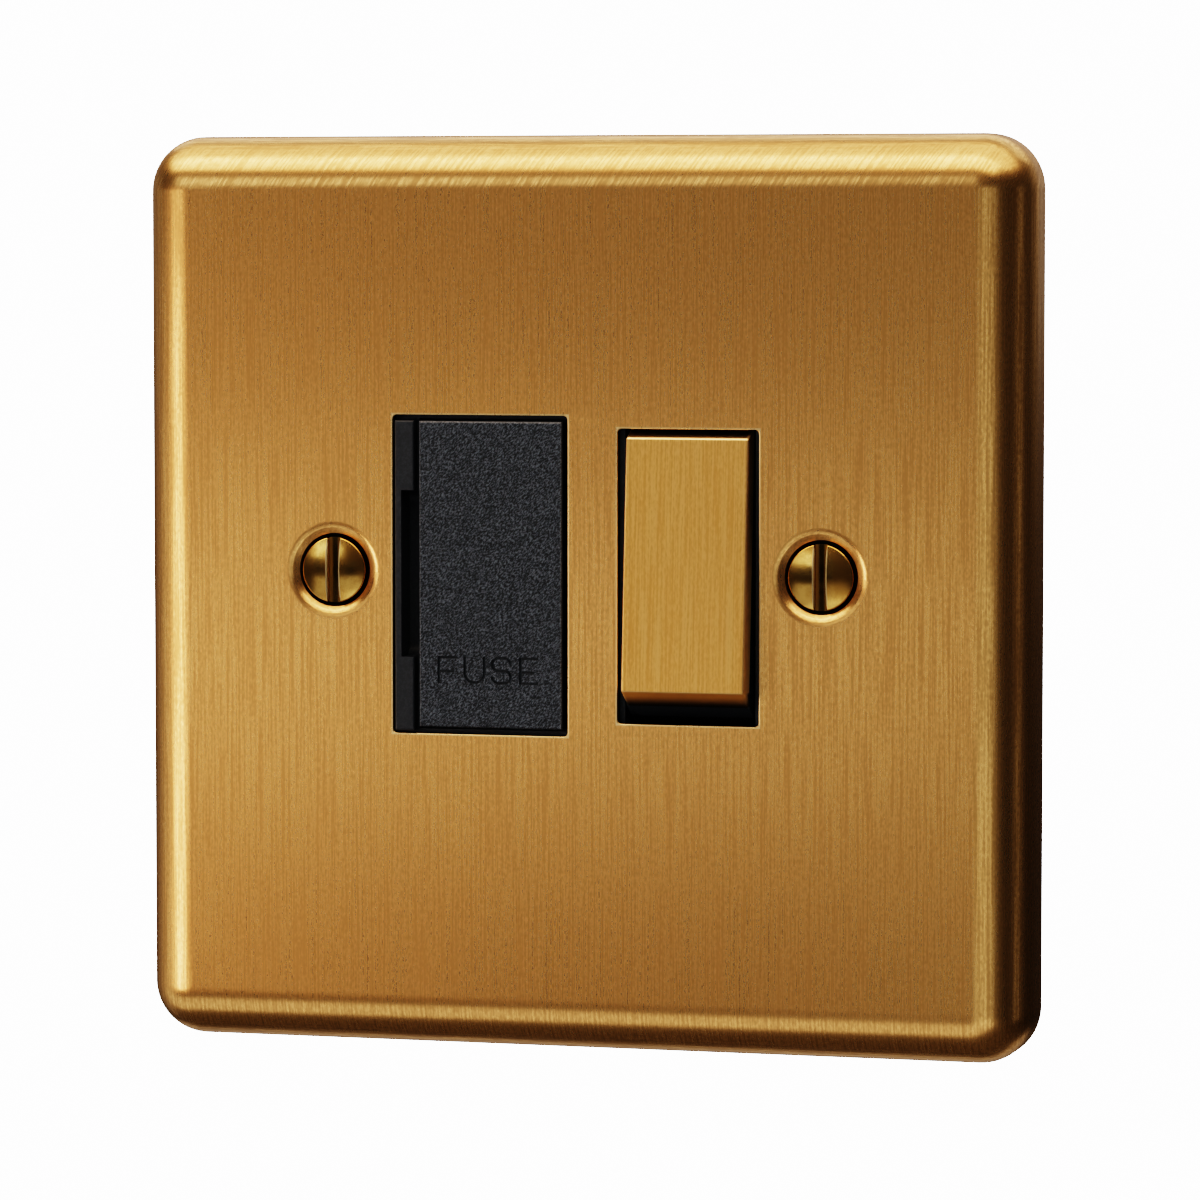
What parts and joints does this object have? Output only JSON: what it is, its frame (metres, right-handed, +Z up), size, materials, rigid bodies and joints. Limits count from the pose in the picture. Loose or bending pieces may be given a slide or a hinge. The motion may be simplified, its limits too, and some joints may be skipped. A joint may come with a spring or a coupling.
{
  "type": "fused spur unit",
  "caption": "Square brushed brass wall plate with a sliding black fuse drawer, a brass rocker switch and slotted fixing screws, for a fixed appliance.",
  "frame": {"origin": "in the wall plane, halfway between the two fixing screws", "axes": "+X to the right seen from the room, +Y into the wall along the fixing screws, +Z up"},
  "size_m": [0.11, 0.0328, 0.11],
  "materials": {
    "plate_brass": "satin antique brass, fine vertical brushing, lacquered",
    "rocker_brass": "brushed brass, brighter and yellower than the plate",
    "screw_brass": "bright brass",
    "contact_brass": "plain",
    "spring_steel": "plain",
    "screw_steel": "zinc plated",
    "nickel_cap": "nickel plated",
    "fuse_ceramic": "glazed ceramic",
    "black_moulding": "fine-textured urea moulding"
  },
  "bodies": {
    "unit": {"front_plate": "plate_brass", "fixing_screw_left": "screw_brass", "fixing_screw_right": "screw_brass", "module_front": "black_moulding", "rear_base": "black_moulding", "fuse_clip_lower": "contact_brass", "fuse_clip_upper": "contact_brass", "earth_strap": "spring_steel", "fulcrum_live": "contact_brass", "fixed_contact_live": "contact_brass", "fulcrum_neutral": "contact_brass", "fixed_contact_neutral": "contact_brass", "load_live_terminal": "contact_brass", "load_live_clamp_screw": "screw_steel", "supply_live_terminal": "contact_brass", "supply_live_clamp_screw": "screw_steel", "supply_neutral_terminal": "contact_brass", "supply_neutral_clamp_screw": "screw_steel", "load_neutral_terminal": "contact_brass", "load_neutral_clamp_screw": "screw_steel", "earth_terminal": "contact_brass", "earth_clamp_screw": "screw_steel", "assembly_screw_1": "screw_steel", "assembly_screw_2": "screw_steel", "assembly_screw_3": "screw_steel", "assembly_screw_4": "screw_steel"},
    "rocker": {"rocker_cap": "rocker_brass", "rocker_body": "black_moulding", "plunger_live": "contact_brass", "plunger_neutral": "contact_brass", "plunger_spring_live": "spring_steel", "plunger_spring_neutral": "spring_steel"},
    "fuse_drawer": {"fuse_carrier": "black_moulding", "carrier_clip": "spring_steel", "fuse_tube": "fuse_ceramic", "fuse_cap_lower": "nickel_cap", "fuse_cap_upper": "nickel_cap"},
    "see_saw_live": {"see_saw_live": "contact_brass"},
    "see_saw_neutral": {"see_saw_neutral": "contact_brass"}
  },
  "joints": [
    {"name": "rocker_turn", "type": "hinge", "parent": "unit", "child": "rocker", "pos_m": [0.01405, 0.0013, 0.0003], "axis": [1, 0, 0], "range_deg": [0, 8.8]},
    {"name": "see_saw_live_turn", "type": "hinge", "parent": "unit", "child": "see_saw_live", "pos_m": [0.01005, 0.0106, 0.0003], "axis": [1, 0, 0], "range_deg": [-8.8, 0]},
    {"name": "see_saw_neutral_turn", "type": "hinge", "parent": "unit", "child": "see_saw_neutral", "pos_m": [0.01805, 0.0106, 0.0003], "axis": [1, 0, 0], "range_deg": [-8.8, 0]},
    {"name": "fuse_drawer_slide", "type": "slide", "parent": "unit", "child": "fuse_drawer", "axis": [0, -1, 0], "range_m": [0, 0.014]}
  ],
  "couplings": [
    {"joint": "see_saw_live_turn", "follows": "rocker_turn", "ratio": -1},
    {"joint": "see_saw_neutral_turn", "follows": "rocker_turn", "ratio": -1}
  ]
}
